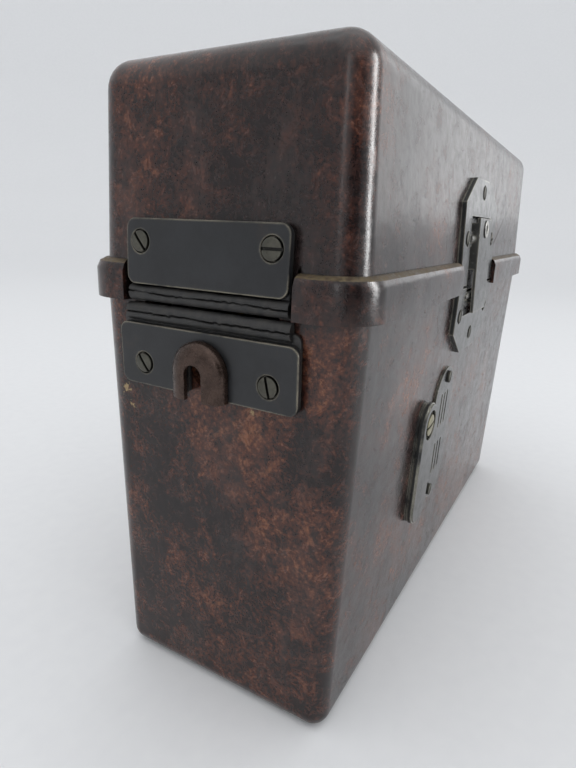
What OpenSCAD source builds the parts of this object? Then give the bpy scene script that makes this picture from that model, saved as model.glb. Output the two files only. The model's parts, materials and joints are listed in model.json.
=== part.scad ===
// Portable field telephone in a moulded case with a hinged lid.
// Row frame: +X along the case, -Y the front with the latch, +Z up, origin at the centre of the foot.
// A wall frame has u along the wall, v up it from the seam and w out of it, so that a fitting is
// drawn flat and then stood against its drafted wall.

/* [Case] */
// Length of the case and lid at the seam
body_l = 263; // [260:1:266]
// Width of the case and lid at the seam
body_w = 92; // [91:1:94]
// Height of the seam between case and lid
seam_z = 136; // [135:0.5:138]
// Overall height
total_h = 205; // [203:1:208]
// Thickness of the moulded walls
wall = 4; // [3.8:0.1:4.2]
// How far each case wall leans in over its height
case_draft = 3.6; // [2.5:0.1:4]
// How far each lid wall leans in over its height
lid_draft = 2.5; // [2:0.1:3]
// Radius of the upright corners
corner_r = 11; // [9:1:12]
// Radius of the edges round the top of the lid
top_r = 9; // [7:1:10]
// Radius of the edges round the foot
foot_r = 6; // [4:1:8]

/* [Rim] */
// How far the rim stands out from the walls
rim_out = 3.4; // [3:0.1:4]
// Height of the rim
rim_h = 12; // [11:0.5:13]

/* [Wire inlet] */
// Width of the clamp plate on the lid
upper_plate_w = 56; // [52:1:58]
// Width of the clamp plate on the case
lower_plate_w = 64; // [60:1:66]
// Radius of a rubber lip
lip_r = 2.35; // [2.2:0.05:2.4]

/* [Latch] */
// Half width of the latch plates
latch_half_w = 31.5; // [30:0.5:32]
// Half width of the lever
lever_half_w = 12.5; // [11:0.5:13]

/* [Crank] */
// Place of the crank hole along the case
crank_x = -53.5; // [-54:0.5:-52.5]
// Height of the crank hole
crank_z = 60; // [59.5:0.5:60.5]
// Radius of the crank hole
crank_hole_r = 6.5; // [6:0.5:7]

/* [Hidden] */
$fn = 48;
case_lean = atan(case_draft / (seam_z - foot_r));
lid_lean = atan(lid_draft / (total_h - seam_z - top_r));
half_l = body_l / 2;
half_w = body_w / 2;
case_in = case_draft + wall;
lid_in = lid_draft + wall;
tongue_h = 6;
tongue_step = 2.2;
skirt_step = 1.7;
skirt_top = 6.5;
screw_r = 1.5;
screw_gap = 0.1;
panel_top = 129;
panel_t = 3;
plate_t = 2;
rubber_t = 1.2;
clamp_t = rubber_t + plate_t;
leaf_t = 1.2;
sound_t = 1;
floor_z = 4;
front = 0;
left_end = -90;
right_end = 90;
back = 180;

// ---------- shared shapes ----------

module rounded_plate(l, w, r) {
    square([l - 2 * r, w], center = true);
    square([l, w - 2 * r], center = true);
    for (sx = [-1, 1], sy = [-1, 1])
        translate([sx * (l / 2 - r), sy * (w / 2 - r)]) circle(r);
}

// The case's own outline at the seam, moved in by step.
module stepped_in(step) {
    rounded_plate(body_l - 2 * step, body_w - 2 * step, corner_r - step);
}

module stadium(u, v0, v1, r) {
    translate([u, v0]) circle(r);
    translate([u, v1]) circle(r);
    translate([u - r, v0]) square([2 * r, v1 - v0]);
}

module slab(w0, w1) {
    translate([0, 0, w0]) linear_extrude(w1 - w0) children();
}

module rod_x(r, x0, x1) {
    translate([x0, 0, 0]) rotate([0, 90, 0]) cylinder(r = r, h = x1 - x0);
}

module rod_y(r, y0, y1) {
    translate([0, y0, 0]) rotate([-90, 0, 0]) cylinder(r = r, h = y1 - y0);
}

// Stands a wall-frame fitting against a case wall or a lid wall.
module on_case(side, half) {
    rotate([0, 0, side]) translate([0, -half, seam_z]) rotate([90 + case_lean, 0, 0]) children();
}

module on_lid(side, half) {
    rotate([0, 0, side]) translate([0, -half, seam_z]) rotate([90 - lid_lean, 0, 0]) children();
}

module at_each(points) {
    for (p = points) translate([p[0], p[1], 0]) children();
}

// A slotted screw that ends flush in its plate: face at w = face, head radius head.
module slotted_screw(face, head, depth, turn) {
    difference() {
        union() {
            translate([0, 0, face - 1.2]) cylinder(r = head, h = 1.5);
            translate([0, 0, face - depth]) cylinder(r = screw_r, h = depth - 1);
        }
        rotate([0, 0, turn]) translate([-head - 1, -0.45, face - 0.6]) cube([2 * head + 2, 0.9, 1.5]);
    }
}

module screw_holes(points, face, head) {
    at_each(points) {
        translate([0, 0, face - 1.25]) cylinder(r = head + screw_gap, h = 3);
        translate([0, 0, face - 14]) cylinder(r = screw_r + screw_gap, h = 14);
    }
}

// The closed corner of a drafted wall: a quarter round turned about its upright, true at both ends.
module corner_ball(r, up) {
    arc = [for (a = [0 : 11.25 : 90]) [r * cos(a), up * r * sin(a)]];
    rotate_extrude($fn = 32) polygon(concat([[0, 0]], arc));
}

// A drafted block: upright corners of radius r_wide at its wide end, balls at its closed end.
module drafted_block(l, w, draft, r_wide, r_ball, z_wide, z_closed) {
    up = z_closed > z_wide ? -1 : 1;
    hull() {
        for (sx = [-1, 1], sy = [-1, 1]) {
            translate([sx * (l / 2 - r_wide), sy * (w / 2 - r_wide), z_wide - (up > 0 ? 0.01 : 0)])
                cylinder(r = r_wide, h = 0.01, $fn = 32);
            translate([
                sx * (l / 2 - draft - r_ball),
                sy * (w / 2 - draft - r_ball),
                z_closed + up * r_ball
            ]) corner_ball(r_ball, -up);
        }
    }
}

// ---------- places shared by a fitting and the holes for it ----------

upper_clamp_points = [[-22.6, 17.6], [22.6, 17.6]];
lower_clamp_points = [[-22.6, -18.8], [22.6, -18.8]];
latch_points = [[-25, 21], [25, 21], [0, 40]];
keeper_points = [[-25, -10], [25, -10], [0, -20]];
sound_points = [[-24.5, -36], [-31, -87]];
sound_u = -26;
slots_u = [-30.5, -26, -21.5];
slots_v = [[-78.6, -66], [-57, -43.4]];
hinge_case_points = [[-45, -16], [0, -16], [45, -16]];
hinge_lid_points = [[-45, 17], [0, 17], [45, 17]];
cover_top_v = 87 - seam_z;
cover_low_v = 53 - seam_z;
pivot_v = 21;
pivot_w = 1;
bar_v = -2.5;
bar_w = 0.6;
corner_points = [[-119, 35], [-119, -35], [120, 37], [120, -37]];
middle_points = [[0, 37], [0, -37], [62, 37], [62, -37]];
panel_points = concat(corner_points, middle_points);
cover_points = [[63.5, 28], [63.5, -28], [118.5, 28], [118.5, -28]];
ear_x = -60;
mouth_x = 88;
seat_z = panel_top + 4;
test_xy = [-100, 31];
post_x = -106;
posts_y = [-22, 6];

// ---------- case ----------

module case_cavity() {
    hull() {
        for (sx = [-1, 1], sy = [-1, 1]) {
            translate([sx * (half_l - corner_r), sy * (half_w - corner_r), seam_z])
                cylinder(r = corner_r - wall, h = tongue_h + 2, $fn = 32);
            translate([sx * (half_l - case_in - 5), sy * (half_w - case_in - 5), wall + 5])
                corner_ball(5, -1);
        }
    }
}

module case_shell() {
    color("saddlebrown") difference() {
        union() {
            difference() {
                union() {
                    drafted_block(body_l, body_w, case_draft, corner_r, foot_r, seam_z, 0);
                    translate([0, 0, seam_z - 1]) linear_extrude(tongue_h + 1)
                        stepped_in(tongue_step);
                }
                case_cavity();
            }
            // pillars that carry the inner panel
            at_each(panel_points) translate([0, 0, 2]) cylinder(r = 4, h = panel_top - panel_t - 2);
        }
        at_each(panel_points) translate([0, 0, panel_top - 12]) cylinder(r = screw_r + screw_gap, h = 12);
        for (side = [left_end, right_end]) on_case(side, half_l) {
            screw_holes(lower_clamp_points, 0, -0.1);
            translate([0, -18.3, -3]) cylinder(r = 6.4, h = 4);
        }
        on_case(left_end, half_l) translate([-24, -3.5, -8]) cube([48, 14, 12]);
        on_case(front, half_w) {
            screw_holes(keeper_points, 0, -0.1);
            screw_holes(sound_points, 0, -0.1);
            translate([-20.5, -11, -2.2]) cube([41, 20, 6]);
            translate([crank_x, cover_top_v, -7]) cylinder(r = 2.1, h = 8);
            for (u = slots_u, v = slots_v) slab(-6, 1) stadium(u, v[0], v[1], 1.3);
        }
        on_case(back, half_w) screw_holes(hinge_case_points, 0, -0.1);
        translate([crank_x, 0, crank_z]) rod_y(crank_hole_r, -half_w - 1, -30);
    }
}

module lower_clamp_plate() {
    color("dimgray") on_case(left_end, half_l) difference() {
        slab(rubber_t, clamp_t) translate([0, -16.2]) rounded_plate(lower_plate_w, 19.6, 3);
        screw_holes(lower_clamp_points, clamp_t, 3.3);
        translate([0, -18.3, 0]) cylinder(r = 6.4, h = 6);
        translate([-6.4, -27, 0]) cube([12.8, 8.7, 6]);
    }
}

// A half-round bead of rubber on a sheet that its clamp plate holds.
module rubber_bead(v, r, half) {
    difference() {
        translate([0, v, 0.8]) rod_x(r, -half, half);
        translate([-half - 1, v - 4, -4]) cube([2 * half + 2, 8, 4]);
    }
}

module lower_rubber_lip() {
    color("black") on_case(left_end, half_l) difference() {
        union() {
            slab(0, rubber_t) translate([0, -14.6]) rounded_plate(lower_plate_w - 1, 22.2, 2.4);
            rubber_bead(-3.2, lip_r, 29);
        }
        at_each(lower_clamp_points) translate([0, 0, -1]) cylinder(r = screw_r + screw_gap, h = 4);
        translate([0, -18.3, -1]) cylinder(r = 6.4, h = 6);
        translate([-6.4, -27, -1]) cube([12.8, 8.7, 6]);
    }
}

// A hollow horseshoe boss: a strap stud's head slides up inside it, its neck in the slot.
module strap_lug(base) {
    difference() {
        union() {
            slab(base, base + 3) stadium(0, -25.4, -18.3, 9.5);
            slab(base + 3, base + 4.5) stadium(0, -25.4, -18.3, 8.4);
        }
        slab(base - 1, base + 3) stadium(0, -40, -18.3, 6.2);
        slab(base + 2, base + 6) stadium(0, -40, -18.3, 3.1);
        translate([-15, -41, base - 1]) cube([30, 15, 8]);
    }
}

module strap_lug_left() {
    color("sienna") on_case(left_end, half_l) strap_lug(clamp_t);
}

module strap_plate_right() {
    color("dimgray") on_case(right_end, half_l) difference() {
        slab(0, clamp_t) translate([0, -16.2]) rounded_plate(lower_plate_w, 19.6, 3);
        screw_holes(lower_clamp_points, clamp_t, 3.3);
        translate([0, -18.3, -1]) cylinder(r = 6.4, h = 6);
        translate([-6.4, -27, -1]) cube([12.8, 8.7, 6]);
    }
}

module strap_lug_right() {
    color("sienna") on_case(right_end, half_l) strap_lug(clamp_t);
}

module strap_plate_screws() {
    color("gray") {
        on_case(left_end, half_l) {
            translate([-22.6, -18.8, 0]) slotted_screw(clamp_t, 3.3, 7.2, -55);
            translate([22.6, -18.8, 0]) slotted_screw(clamp_t, 3.3, 7.2, -78);
        }
        on_case(right_end, half_l) at_each(lower_clamp_points) slotted_screw(clamp_t, 3.3, 7.2, 20);
    }
}

// ---------- latch ----------

module latch_outline(v0, v1, cut, flip) {
    difference() {
        translate([-latch_half_w, v0]) square([2 * latch_half_w, v1 - v0]);
        for (s = [-1, 1])
            polygon([
                [s * (latch_half_w + 1), flip ? v0 + cut[1] : v1 - cut[1]],
                [s * latch_half_w, flip ? v0 + cut[1] : v1 - cut[1]],
                [s * (latch_half_w - cut[0]), flip ? v0 : v1],
                [s * (latch_half_w - cut[0]), flip ? v0 - 1 : v1 + 1],
                [s * (latch_half_w + 1), flip ? v0 - 1 : v1 + 1]
            ]);
    }
}

// Two blocks either side of the window that hold a cross pin.
module pin_blocks(v, w, over) {
    for (s = [-1, 1]) difference() {
        translate([s > 0 ? 16.5 : -20.5, v - 3, -2]) cube([4, 3 + over, 2 + plate_t]);
        translate([0, v, w]) rod_x(1.55, -22, 22);
    }
}

module latch_plate() {
    color("dimgray") on_lid(front, half_w) {
        difference() {
            slab(0, plate_t) latch_outline(2.4, 45, [16, 10], false);
            translate([-20, -5, -1]) cube([40, 35, 6]);
            screw_holes(latch_points, plate_t, 3);
            translate([0, pivot_v, pivot_w]) rod_x(1.55, -22, 22);
        }
        pin_blocks(pivot_v, pivot_w, 3);
    }
}

module latch_pin() {
    color("silver") on_lid(front, half_w) translate([0, pivot_v, pivot_w]) rod_x(1.5, -18.5, 18.5);
}

module latch_plate_screws() {
    color("gray") on_lid(front, half_w) {
        translate([-25, 21, 0]) slotted_screw(plate_t, 2.9, 6, 70);
        translate([25, 21, 0]) slotted_screw(plate_t, 2.9, 6, 15);
        translate([0, 40, 0]) slotted_screw(plate_t, 2.9, 6, 85);
    }
}

module keeper_plate() {
    color("dimgray") on_case(front, half_w) {
        difference() {
            slab(0, plate_t) latch_outline(-27, 1.6, [16, 10], true);
            translate([-20, -10.4, -1]) cube([40, 20, 6]);
            screw_holes(keeper_points, plate_t, 3);
            translate([0, bar_v, bar_w]) rod_x(1.55, -22, 22);
        }
        pin_blocks(bar_v, bar_w, 2.2);
    }
}

module keeper_bar() {
    color("silver") on_case(front, half_w) translate([0, bar_v, bar_w]) rod_x(1.5, -18.5, 18.5);
}

module case_screws() {
    color("gray") {
        on_case(front, half_w) {
            translate([-25, -10, 0]) slotted_screw(plate_t, 2.9, 6, 80);
            translate([25, -10, 0]) slotted_screw(plate_t, 2.9, 6, 40);
            translate([0, -20, 0]) slotted_screw(plate_t, 2.9, 6, 88);
            at_each(sound_points) slotted_screw(1.3 + sound_t, 2.9, 6.3, 62);
        }
        on_case(back, half_w) at_each(hinge_case_points) slotted_screw(leaf_t + 1.3, 2.9, 6.5, 35);
    }
}

lever_w = 2.6;

module latch_lever() {
    color("gray") on_lid(front, half_w) difference() {
        union() {
            translate([-lever_half_w, -9.8, lever_w]) cube([2 * lever_half_w, 39.2, 1.3]);
            for (s = [-1, 1])
                translate([s > 0 ? lever_half_w - 1.3 : -lever_half_w, 8.5, -1.2])
                    cube([1.3, 19, lever_w + 2]);
            // the nose that hooks under the keeper bar
            translate([-9, bar_v - 3.4, -0.6]) cube([18, 1.6, lever_w + 1]);
        }
        translate([0, pivot_v, pivot_w]) rod_x(1.56, -20, 20);
        translate([0, 25, 0]) cylinder(r = 2.6, h = 8);
    }
}

module latch_eyelet() {
    color("silver") on_lid(front, half_w) translate([0, 25, 0]) difference() {
        union() {
            translate([0, 0, lever_w + 1.3]) cylinder(r = 3.7, h = 0.5);
            translate([0, 0, lever_w]) cylinder(r = 2.6, h = 1.6);
        }
        cylinder(r = 1.9, h = 8);
    }
}

module latch_spring() {
    color("silver") on_lid(front, half_w) rotate([90, 0, 90]) translate([0, 0, -4]) linear_extrude(8)
        polygon([[8, -2.2], [23.2, -2.2], [28.6, 2.3], [28.1, 2.6], [22.8, -1.8], [8, -1.8]]);
}

// ---------- crank opening ----------

module sound_plate() {
    color("dimgray") difference() {
        on_case(front, half_w) difference() {
            slab(0, sound_t) difference() {
                union() {
                    stadium(sound_u, 58.3 - seam_z, 90.2 - seam_z, 14.3);
                    stadium(crank_x, cover_low_v, cover_top_v, 8.6);
                    translate([crank_x, cover_low_v]) square([20, cover_top_v - cover_low_v]);
                }
                for (u = slots_u, v = slots_v) stadium(u, v[0], v[1], 0.9);
            }
            screw_holes(sound_points, 2.2, -0.1);
            translate([crank_x, cover_top_v, -1]) cylinder(r = 2.1, h = 3);
        }
        translate([crank_x, 0, crank_z]) rod_y(crank_hole_r, -half_w - 3, -30);
    }
}

module crank_cover() {
    color("dimgray") on_case(front, half_w) difference() {
        union() {
            slab(1.1, 2.8) stadium(crank_x, cover_low_v, cover_top_v, 9);
            slab(2.8, 3.5) stadium(crank_x, cover_low_v, cover_top_v, 8.4);
        }
        translate([crank_x, cover_top_v, 0]) cylinder(r = 2.1, h = 6);
        translate([crank_x, cover_top_v, 2]) cylinder(r = 6, h = 6);
    }
}

module crank_cover_screw() {
    color("darkkhaki") on_case(front, half_w) translate([crank_x, cover_top_v, 0]) difference() {
        union() {
            translate([0, 0, 2.1]) cylinder(r = 4.6, h = 1.2);
            translate([0, 0, -6.5]) cylinder(r = 2, h = 8.7);
        }
        translate([-6, -0.5, 2.8]) cube([12, 1, 2]);
    }
}

// ---------- hinge ----------

hinge_y = half_w + 2.15;
knuckle_r = 2.1;
hinge_pin_r = 1.1;
hinge_half = 60;
knuckles = 5;
knuckle_w = 2 * hinge_half / knuckles;

module knuckle_row(first, low) {
    for (i = [first : 2 : knuckles - 1])
        translate([-hinge_half + i * knuckle_w + 0.15, 0, 0]) {
            translate([0, hinge_y, seam_z]) rod_x(knuckle_r, 0, knuckle_w - 0.3);
            translate([0, half_w, low]) cube([knuckle_w - 0.3, leaf_t, 4.4]);
        }
}

module pin_bore() {
    translate([0, hinge_y, seam_z]) rod_x(hinge_pin_r + 0.05, -hinge_half - 1, hinge_half + 1);
}

module case_hinge_leaf() {
    color("dimgray") difference() {
        union() {
            knuckle_row(0, seam_z - 4.4);
            on_case(back, half_w) difference() {
                slab(0, leaf_t) translate([0, -14.5]) rounded_plate(2 * hinge_half, 22, 3);
                screw_holes(hinge_case_points, 2.5, -0.1);
            }
        }
        pin_bore();
    }
}

module lid_hinge_leaf() {
    color("dimgray") difference() {
        union() {
            knuckle_row(1, seam_z);
            on_lid(back, half_w) difference() {
                slab(0, leaf_t) translate([0, 14.5]) rounded_plate(2 * hinge_half, 22, 3);
                screw_holes(hinge_lid_points, 2.5, -0.1);
            }
        }
        pin_bore();
    }
}

module lid_hinge_screws() {
    color("gray") on_lid(back, half_w) at_each(hinge_lid_points) slotted_screw(leaf_t + 1.3, 2.7, 6.5, 125);
}

module hinge_pin() {
    color("silver") translate([0, hinge_y, seam_z]) rod_x(hinge_pin_r, -hinge_half - 1, hinge_half + 1);
}

// ---------- lid ----------

module lid_shell() {
    color("saddlebrown") difference() {
        union() {
            drafted_block(body_l, body_w, lid_draft, corner_r, top_r, seam_z, total_h);
            hull() {
                translate([0, 0, seam_z]) linear_extrude(rim_h - 3.2)
                    rounded_plate(body_l + 2 * rim_out, body_w + 2 * rim_out, corner_r + rim_out);
                translate([0, 0, seam_z + rim_h - 1.2]) linear_extrude(0.2)
                    rounded_plate(body_l + 2 * rim_out - 2, body_w + 2 * rim_out - 2, corner_r + 2.4);
                translate([0, 0, seam_z + rim_h - 0.2]) linear_extrude(0.2)
                    rounded_plate(body_l + 1, body_w + 1, corner_r + 0.5);
            }
        }
        translate([0, 0, seam_z - 1]) linear_extrude(skirt_top + 1)
            stepped_in(skirt_step);
        hull() {
            for (sx = [-1, 1], sy = [-1, 1]) {
                translate([sx * (half_l - corner_r), sy * (half_w - corner_r), seam_z])
                    cylinder(r = corner_r - wall, h = 8, $fn = 32);
                translate([sx * (half_l - lid_in - 6), sy * (half_w - lid_in - 6), total_h - wall - 6])
                    corner_ball(6, 1);
            }
        }
        for (cut = [[front, half_w, 33], [left_end, half_l, 29.5], [back, half_w, 62]])
            on_lid(cut[0], cut[1]) translate([-cut[2], -1, 0]) cube([2 * cut[2], rim_h + 3, 8]);
        on_lid(front, half_w) {
            screw_holes(latch_points, 0, -0.1);
            translate([-20.5, 7.4, -2.2]) cube([41, 23, 6]);
        }
        on_lid(left_end, half_l) screw_holes(upper_clamp_points, 0, -0.1);
        on_lid(back, half_w) screw_holes(hinge_lid_points, 0, -0.1);
    }
}

module upper_clamp_plate() {
    color("dimgray") on_lid(left_end, half_l) difference() {
        slab(rubber_t, clamp_t) translate([0, 14.7]) rounded_plate(upper_plate_w, 19, 3);
        screw_holes(upper_clamp_points, clamp_t, 3.3);
    }
}

module upper_rubber_lip() {
    color("black") on_lid(left_end, half_l) difference() {
        union() {
            slab(0, rubber_t) translate([0, 12.6]) rounded_plate(upper_plate_w - 1, 21.8, 2.4);
            rubber_bead(2.6, 2, 28);
        }
        at_each(upper_clamp_points) translate([0, 0, -1]) cylinder(r = screw_r + screw_gap, h = 4);
    }
}

module upper_clamp_screws() {
    color("gray") on_lid(left_end, half_l) {
        translate([-22.6, 17.6, 0]) slotted_screw(clamp_t, 3.3, 7.2, -50);
        translate([22.6, 17.6, 0]) slotted_screw(clamp_t, 3.3, 7.2, 0);
    }
}

// ---------- panel and what stands on it ----------

module panel_screw_holes(points) {
    at_each(points) translate([0, 0, panel_top - 5]) cylinder(r = screw_r + screw_gap, h = 8);
}

module cheese_screw() {
    difference() {
        union() {
            cylinder(r = 3, h = 1.6);
            translate([0, 0, -9]) cylinder(r = screw_r, h = 9.5);
        }
        translate([-4, -0.45, 0.9]) cube([8, 0.9, 1]);
    }
}

module inner_panel() {
    color("dimgray") difference() {
        translate([0, 0, panel_top - panel_t]) linear_extrude(panel_t)
            rounded_plate(body_l - 10.5, body_w - 10.5, 6);
        translate([73, -32, panel_top - 5]) cube([42, 64, 10]);
        panel_screw_holes(concat(panel_points, cover_points));
        for (y = posts_y) translate([post_x, y, panel_top - 5]) cylinder(r = 2.1, h = 8);
        translate([test_xy[0], test_xy[1], panel_top - 5]) cylinder(r = 5.1, h = 8);
    }
}

module panel_screws() {
    color("gray") {
        at_each(panel_points) translate([0, 0, panel_top]) cheese_screw();
        at_each(cover_points) translate([0, 0, panel_top + 1.5]) cheese_screw();
    }
}

module handset_seats() {
    color("olivedrab") {
        translate([ear_x, 0, panel_top]) cylinder(r = 30, h = 4);
        translate([mouth_x, 0, panel_top + 1.5]) cylinder(r = 30, h = 2.5);
    }
}

module battery_cover() {
    color("dimgray") difference() {
        translate([90, 0, panel_top]) linear_extrude(1.5) rounded_plate(64, 66, 3);
        panel_screw_holes(cover_points);
    }
}

module battery_box() {
    color("slategray") difference() {
        translate([94, 0, floor_z]) linear_extrude(panel_top - panel_t - floor_z) rounded_plate(44, 66, 3);
        translate([94, 0, floor_z + 1]) linear_extrude(panel_top) rounded_plate(42, 64, 2);
    }
}

module dry_cell() {
    color("goldenrod") {
        translate([94, 0, floor_z + 1]) linear_extrude(105) rounded_plate(41.4, 63.4, 2);
        for (y = [-20, 20]) translate([94, y, floor_z + 105]) cylinder(r = 3, h = 8);
    }
}

module induction_coil() {
    color("firebrick") translate([-99, -14, 0]) {
        translate([0, 0, floor_z + 2]) cylinder(r = 11.5, h = 80);
        for (z = [floor_z, floor_z + 80]) translate([-13, -13, z]) cube([26, 26, 4]);
        translate([0, 0, floor_z + 82]) cylinder(r = 5, h = 6);
    }
}

module capacitor() {
    color("darkgray") translate([-111, 3, floor_z]) cube([24, 24, 62]);
}

// ---------- hand generator ----------

gear_m = 1;
gear_teeth = 48;
pinion_teeth = 12;
gear_gap = gear_m * (gear_teeth + pinion_teeth) / 2;
armature_z = crank_z - gear_gap;

function involute(rb, a) = rb * [cos(a) + a * PI / 180 * sin(a), sin(a) - a * PI / 180 * cos(a)];
function turned(p, a) = [p[0] * cos(a) - p[1] * sin(a), p[0] * sin(a) + p[1] * cos(a)];

module spur_outline(teeth, add, ded, backlash) {
    pitch = gear_m * teeth / 2;
    base = pitch * cos(20);
    tip = pitch + add;
    root = pitch - ded;
    a_pitch = sqrt(pitch * pitch / (base * base) - 1) * 180 / PI;
    a_tip = sqrt(tip * tip / (base * base) - 1) * 180 / PI;
    at_pitch = a_pitch - atan(a_pitch * PI / 180);
    half_tooth = 90 / teeth - backlash / pitch * 90 / PI;
    steps = 5;
    flank = [for (i = [0 : steps]) turned(involute(base, a_tip * i / steps), -at_pitch - half_tooth)];
    low = turned([root, 0], -at_pitch - half_tooth);
    tooth = concat([low], flank);
    mirrored = [for (i = [len(tooth) - 1 : -1 : 0]) [tooth[i][0], -tooth[i][1]]];
    polygon([for (k = [0 : teeth - 1], p = concat(tooth, mirrored)) turned(p, k * 360 / teeth)]);
}

module generator_frame() {
    color("darkslategray") difference() {
        union() {
            for (y = [-24, 24]) translate([crank_x - 26, y, floor_z]) cube([52, 3, 86]);
            translate([crank_x - 26, -22, floor_z]) cube([52, 47, 3]);
            for (s = [-1, 1]) translate([s > 0 ? crank_x + 6 : crank_x - 17.2, -22, floor_z + 2])
                cube([11.2, 47, 37]);
        }
        translate([crank_x, 0, crank_z]) rod_y(4.06, -30, 30);
        translate([crank_x, 0, armature_z]) rod_y(2.56, -30, 30);
        translate([crank_x, 0, armature_z]) rod_y(13.6, -21, 24);
    }
}

module generator_magnets() {
    color("maroon") for (y = [-19.5, -4.5, 10.5]) translate([crank_x, y, 0]) {
        for (s = [-1, 1]) translate([s > 0 ? 17.2 : -25.2, 0, floor_z + 3]) cube([8, 12.5, 56]);
        difference() {
            translate([0, 0, 62]) rod_y(25.2, 0, 12.5);
            translate([0, 0, 62]) rod_y(17.2, -1, 14);
            translate([-30, -1, 30]) cube([60, 16, 32]);
        }
    }
}

// The shaft and its wheel are one turned piece; two flats at its mouth take the crank.
module crank_shaft() {
    color("silver") translate([crank_x, 0, crank_z]) {
        difference() {
            rod_y(4, -39.6, 30);
            for (s = [-1, 1]) translate([-5, -41, s > 0 ? 2.6 : -6.6]) cube([10, 7, 4]);
        }
        difference() {
            rotate([90, 0, 0]) translate([0, 0, 28]) linear_extrude(4) rotate([0, 0, 180 / gear_teeth])
                spur_outline(gear_teeth, 0.75, 1.2, 0.2);
            for (a = [0 : 60 : 300]) rotate([0, a, 0]) translate([14, 0, 0]) rod_y(4.5, -40, -20);
        }
    }
}

module armature() {
    color("peru") translate([crank_x, 0, armature_z]) {
        rotate([90, 0, 0]) translate([0, 0, 27.6]) linear_extrude(5)
            spur_outline(pinion_teeth, 0.75, 1.2, 0.2);
        rod_y(2.5, -32.6, 29);
        difference() {
            rod_y(13, -20, 20);
            for (s = [-1, 1]) translate([-4.5, -21, s > 0 ? 6 : -14]) cube([9, 42, 8]);
        }
    }
}

// ---------- bell ----------

bell_x = 22.5;
gong_x = 26;
gong_z = 76;
clapper_z = 51;

module bell_frame() {
    color("darkslategray") translate([bell_x, 0, 0]) {
        translate([-42, 14, floor_z]) cube([84, 2.5, 90]);
        translate([-24, -16, floor_z]) cube([48, 31, 6]);
        for (x = [-gong_x, gong_x]) translate([x, 0, gong_z]) {
            rod_y(4, -16, 15);
            rod_y(2, -21, 0);
        }
        translate([0, 0, clapper_z]) rod_y(1.5, -9, 15);
    }
}

module bell_coils() {
    color("darkgreen") for (x = [-13, 13]) translate([bell_x + x, -4, floor_z + 6]) {
        cylinder(r = 9.5, h = 36);
        for (z = [0, 31]) translate([0, 0, z]) cylinder(r = 11.5, h = 3);
    }
}

module gong(x) {
    translate([bell_x + x, -8, gong_z]) rotate([90, 0, 0]) rotate_extrude(convexity = 4)
        polygon([
            [2.1, 8], [8, 8], [12, 7], [15.5, 4.5], [18, 1], [19.4, -4],
            [21, -4], [19.6, 1.6], [16.8, 5.8], [12.6, 8.5], [8.2, 9.6], [2.1, 9.6]
        ]);
}

module left_gong() {
    color("goldenrod") gong(-gong_x);
}

module right_gong() {
    color("goldenrod") gong(gong_x);
}

module gong_screws() {
    color("silver") for (x = [-gong_x, gong_x]) translate([bell_x + x, 0, gong_z]) difference() {
        rod_y(4.5, -20.6, -17.6);
        rod_y(2, -22, -5);
    }
}

module clapper() {
    color("silver") translate([bell_x, 0, clapper_z]) {
        difference() {
            union() {
                rod_y(3.2, -8, 0);
                translate([-18, -7.5, -1.5]) cube([36, 7, 3]);
            }
            rod_y(1.56, -10, 2);
        }
        translate([0, -4, 2.9]) cylinder(r = 0.9, h = gong_z - clapper_z - 5);
        translate([0, -4, gong_z - clapper_z]) sphere(3.2);
    }
}

// ---------- terminals, test key, crank ----------

module terminal_posts() {
    color("goldenrod") for (y = posts_y) translate([post_x, y, panel_top]) {
        translate([0, 0, -9]) cylinder(r = 2, h = 24);
        cylinder(r = 6, h = 1.6);
    }
}

module terminal_nut(y) {
    translate([post_x, y, panel_top + 5]) difference() {
        cylinder(r = 6.6, h = 7);
        translate([0, 0, -1]) cylinder(r = 2.06, h = 9);
        for (a = [0 : 30 : 330]) rotate([0, 0, a]) translate([6.9, 0, -1])
            cylinder(r = 0.7, h = 9, $fn = 16);
    }
}

module terminal_nut_a() {
    color("goldenrod") terminal_nut(posts_y[0]);
}

module terminal_nut_b() {
    color("goldenrod") terminal_nut(posts_y[1]);
}

module test_key_bush() {
    color("silver") translate([test_xy[0], test_xy[1], panel_top]) difference() {
        union() {
            cylinder(r = 8, h = 2);
            translate([0, 0, -8]) cylinder(r = 5, h = 9);
        }
        translate([0, 0, -10]) cylinder(r = 3.55, h = 15);
    }
}

module test_key() {
    color("firebrick") translate([test_xy[0], test_xy[1], panel_top]) {
        translate([0, 0, -12]) cylinder(r = 3.5, h = 17.5);
        translate([0, 0, 5.5]) cylinder(r = 6, h = 2.5);
    }
}

arm_y = 27;
arm_z = panel_top + 10;
arm_x0 = -18;
arm_x1 = 52;

module crank_clips() {
    color("silver") for (x = [4, 26]) translate([x, arm_y, panel_top]) {
        translate([0, -5.3, 0]) cube([8, 6.6, 4]);
        for (y = [-5.3, 0.5]) translate([0, y, 0]) cube([8, 0.8, 18]);
    }
}

module crank_arm() {
    color("dimgray") translate([0, arm_y, arm_z]) difference() {
        union() {
            translate([arm_x0, -4.5, -6]) cube([arm_x1 - arm_x0, 5, 12]);
            translate([arm_x0, 0, 0]) rod_y(6, -4.5, 0.5);
            translate([arm_x1, 0, 0]) rod_y(8, -16, 0.5);
            translate([arm_x0, 0, 0]) rod_y(3, -47.2, 0);
            translate([arm_x0, 0, 0]) rod_y(5, -49, -47);
        }
        translate([arm_x1, 0, 0]) rod_y(4.1, -18, -3);
    }
}

module crank_grip() {
    profile = concat(
        [[3.08, 0], [7, 0]],
        [for (i = [0 : 8]) [7.6 + 1.6 * sin(i * 22.5), 2 + i * 4.75]],
        [[7, 42], [3.08, 42]]
    );
    color("saddlebrown") translate([arm_x0, arm_y - 4.8, arm_z]) rotate([90, 0, 0])
        rotate_extrude() polygon(profile);
}

// ---------- handset, stowed face down on its seats ----------

handle_z = seat_z + 42;

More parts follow.
